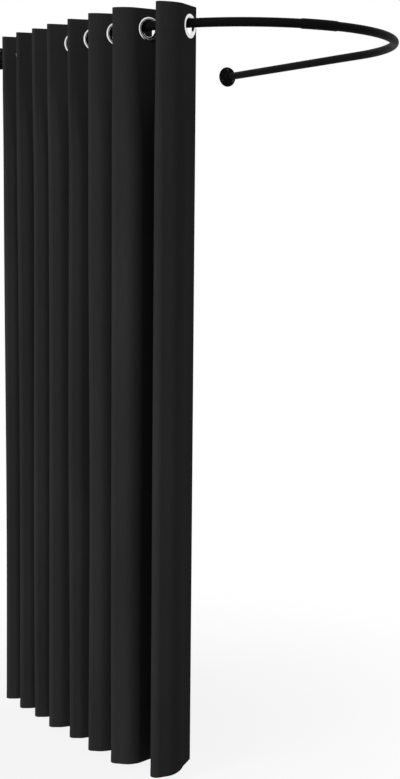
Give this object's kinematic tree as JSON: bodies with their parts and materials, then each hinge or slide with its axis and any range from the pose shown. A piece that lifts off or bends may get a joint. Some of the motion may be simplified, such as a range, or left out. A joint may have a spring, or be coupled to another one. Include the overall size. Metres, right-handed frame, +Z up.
{
  "type": "portable fitting room",
  "caption": "Wall-mounted fitting room: U-shaped black tube rail between two round wall plates, with a full-length black eyelet curtain drawn back along the left arm.",
  "frame": {"origin": "on the wall, midway between the rail's two arms, at the height of the rail's centre line", "axes": "+X to the right as seen from the room, +Y into the wall, +Z up"},
  "size_m": [0.9892, 1.216, 2.105],
  "materials": {
    "black_metal": "black powder coat, satin",
    "black_cloth": "matt woven black polyester",
    "eyelet_chrome": "polished",
    "black_screw": "black oxide, satin"
  },
  "bodies": {
    "rail": {"rail_left_half": "black_metal", "rail_right_half": "black_metal", "left_wall_plate": "black_metal", "left_wall_screw_1": "black_screw", "left_wall_screw_2": "black_screw", "left_wall_screw_3": "black_screw", "left_set_screw": "black_screw", "right_wall_plate": "black_metal", "right_wall_screw_1": "black_screw", "right_wall_screw_2": "black_screw", "right_wall_screw_3": "black_screw", "right_set_screw": "black_screw"},
    "panel_01": {"curtain_panel_01": "black_cloth", "eyelet_front_01": "eyelet_chrome", "eyelet_back_01": "eyelet_chrome"},
    "panel_02": {"curtain_panel_02": "black_cloth", "eyelet_front_02": "eyelet_chrome", "eyelet_back_02": "eyelet_chrome"},
    "panel_03": {"curtain_panel_03": "black_cloth", "eyelet_front_03": "eyelet_chrome", "eyelet_back_03": "eyelet_chrome"},
    "panel_04": {"curtain_panel_04": "black_cloth", "eyelet_front_04": "eyelet_chrome", "eyelet_back_04": "eyelet_chrome"},
    "panel_05": {"curtain_panel_05": "black_cloth", "eyelet_front_05": "eyelet_chrome", "eyelet_back_05": "eyelet_chrome"},
    "panel_06": {"curtain_panel_06": "black_cloth", "eyelet_front_06": "eyelet_chrome", "eyelet_back_06": "eyelet_chrome"},
    "panel_07": {"curtain_panel_07": "black_cloth", "eyelet_front_07": "eyelet_chrome", "eyelet_back_07": "eyelet_chrome"},
    "panel_08": {"curtain_panel_08": "black_cloth", "eyelet_front_08": "eyelet_chrome", "eyelet_back_08": "eyelet_chrome"},
    "panel_09": {"curtain_panel_09": "black_cloth", "eyelet_front_09": "eyelet_chrome", "eyelet_back_09": "eyelet_chrome"},
    "panel_10": {"curtain_panel_10": "black_cloth", "eyelet_front_10": "eyelet_chrome", "eyelet_back_10": "eyelet_chrome"},
    "panel_11": {"curtain_panel_11": "black_cloth", "eyelet_front_11": "eyelet_chrome", "eyelet_back_11": "eyelet_chrome"},
    "panel_12": {"curtain_panel_12": "black_cloth", "eyelet_front_12": "eyelet_chrome", "eyelet_back_12": "eyelet_chrome"},
    "panel_13": {"curtain_panel_13": "black_cloth", "eyelet_front_13": "eyelet_chrome", "eyelet_back_13": "eyelet_chrome"},
    "panel_14": {"curtain_panel_14": "black_cloth", "eyelet_front_14": "eyelet_chrome", "eyelet_back_14": "eyelet_chrome"},
    "panel_15": {"curtain_panel_15": "black_cloth", "eyelet_front_15": "eyelet_chrome", "eyelet_back_15": "eyelet_chrome"},
    "panel_16": {"curtain_panel_16": "black_cloth", "eyelet_front_16": "eyelet_chrome", "eyelet_back_16": "eyelet_chrome"}
  },
  "joints": [
    {"name": "front_draw", "type": "hinge", "parent": "rail", "child": "panel_05", "pos_m": [0, -0.75, 0], "axis": [0, 0, 1], "range_deg": [0, 3.75]},
    {"name": "front_draw_04", "type": "hinge", "parent": "panel_05", "child": "panel_04", "pos_m": [0, -0.75, 0], "axis": [0, 0, 1], "range_deg": [0, 7.5]},
    {"name": "front_draw_03", "type": "hinge", "parent": "panel_04", "child": "panel_03", "pos_m": [0, -0.75, 0], "axis": [0, 0, 1], "range_deg": [0, 7.5]},
    {"name": "front_draw_02", "type": "hinge", "parent": "panel_03", "child": "panel_02", "pos_m": [0, -0.75, 0], "axis": [0, 0, 1], "range_deg": [0, 7.5]},
    {"name": "front_draw_01", "type": "hinge", "parent": "panel_02", "child": "panel_01", "pos_m": [0, -0.75, 0], "axis": [0, 0, 1], "range_deg": [0, 7.5]},
    {"name": "side_gather", "type": "hinge", "parent": "rail", "child": "panel_06", "pos_m": [-0.44, -0.70475, 0], "axis": [0, 0, -1], "range_deg": [0, 12]},
    {"name": "side_gather_07", "type": "hinge", "parent": "panel_06", "child": "panel_07", "pos_m": [-0.36212, -0.66944, 0], "axis": [0, 0, 1], "range_deg": [0, 24]},
    {"name": "side_gather_08", "type": "hinge", "parent": "panel_07", "child": "panel_08", "pos_m": [-0.50156, -0.60622, 0], "axis": [0, 0, -1], "range_deg": [0, 24]},
    {"name": "side_gather_09", "type": "hinge", "parent": "panel_08", "child": "panel_09", "pos_m": [-0.37238, -0.54766, 0], "axis": [0, 0, 1], "range_deg": [0, 24]},
    {"name": "side_gather_10", "type": "hinge", "parent": "panel_09", "child": "panel_10", "pos_m": [-0.5064, -0.4869, 0], "axis": [0, 0, -1], "range_deg": [0, 24]},
    {"name": "side_gather_11", "type": "hinge", "parent": "panel_10", "child": "panel_11", "pos_m": [-0.38351, -0.43119, 0], "axis": [0, 0, 1], "range_deg": [0, 24]},
    {"name": "side_gather_12", "type": "hinge", "parent": "panel_11", "child": "panel_12", "pos_m": [-0.50127, -0.37781, 0], "axis": [0, 0, -1], "range_deg": [0, 24]},
    {"name": "side_gather_13", "type": "hinge", "parent": "panel_12", "child": "panel_13", "pos_m": [-0.39062, -0.32764, 0], "axis": [0, 0, 1], "range_deg": [0, 24]},
    {"name": "side_gather_14", "type": "hinge", "parent": "panel_13", "child": "panel_14", "pos_m": [-0.50432, -0.2761, 0], "axis": [0, 0, -1], "range_deg": [0, 24]},
    {"name": "side_gather_15", "type": "hinge", "parent": "panel_14", "child": "panel_15", "pos_m": [-0.37936, -0.21945, 0], "axis": [0, 0, 1], "range_deg": [0, 24]},
    {"name": "side_gather_16", "type": "hinge", "parent": "panel_15", "child": "panel_16", "pos_m": [-0.49881, -0.1653, 0], "axis": [0, 0, -1], "range_deg": [0, 24]}
  ],
  "couplings": [
    {"joint": "front_draw_04", "follows": "front_draw", "ratio": 2},
    {"joint": "front_draw_03", "follows": "front_draw", "ratio": 2},
    {"joint": "front_draw_02", "follows": "front_draw", "ratio": 2},
    {"joint": "front_draw_01", "follows": "front_draw", "ratio": 2},
    {"joint": "side_gather_07", "follows": "side_gather", "ratio": 2},
    {"joint": "side_gather_08", "follows": "side_gather", "ratio": 2},
    {"joint": "side_gather_09", "follows": "side_gather", "ratio": 2},
    {"joint": "side_gather_10", "follows": "side_gather", "ratio": 2},
    {"joint": "side_gather_11", "follows": "side_gather", "ratio": 2},
    {"joint": "side_gather_12", "follows": "side_gather", "ratio": 2},
    {"joint": "side_gather_13", "follows": "side_gather", "ratio": 2},
    {"joint": "side_gather_14", "follows": "side_gather", "ratio": 2},
    {"joint": "side_gather_15", "follows": "side_gather", "ratio": 2},
    {"joint": "side_gather_16", "follows": "side_gather", "ratio": 2}
  ]
}
